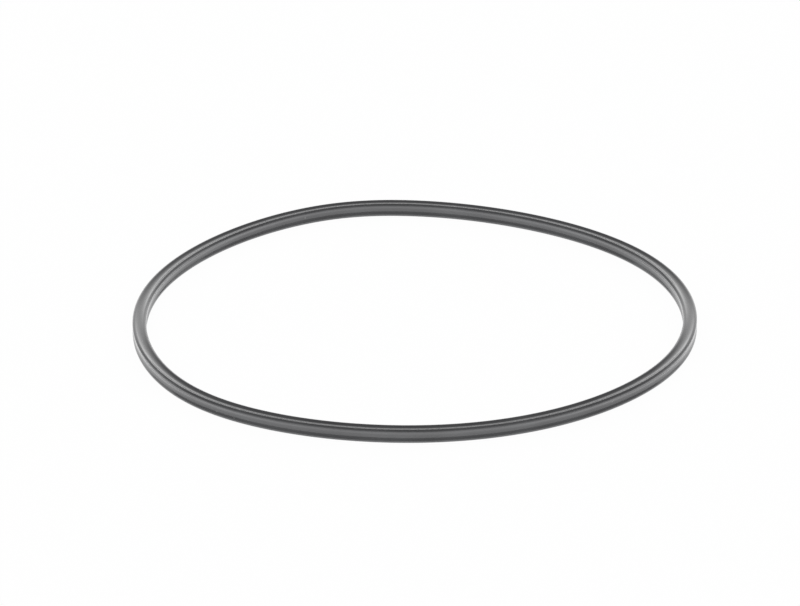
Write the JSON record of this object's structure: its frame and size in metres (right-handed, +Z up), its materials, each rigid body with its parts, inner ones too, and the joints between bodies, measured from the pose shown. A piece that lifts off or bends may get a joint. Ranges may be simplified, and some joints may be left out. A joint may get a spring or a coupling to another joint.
{
  "type": "quad ring",
  "caption": "Slender black rubber seal ring with a round lobe at each corner of its square section and a shallow groove along every side, lying loose.",
  "frame": {"origin": "middle of the ring's bounding box across, on the surface that the ring lies on", "axes": "+Z up out of that surface and through the ring; X and Y lie in the plane of the ring, with X along the ring's width as a viewer in front of it sees it"},
  "size_m": [0.1428, 0.143, 0.0035],
  "materials": {
    "nitrile_rubber": "moulded black nitrile rubber, satin, with a faint bloom and a little dust"
  },
  "bodies": {
    "root": {"seal_ring": "nitrile_rubber"}
  },
  "joints": []
}
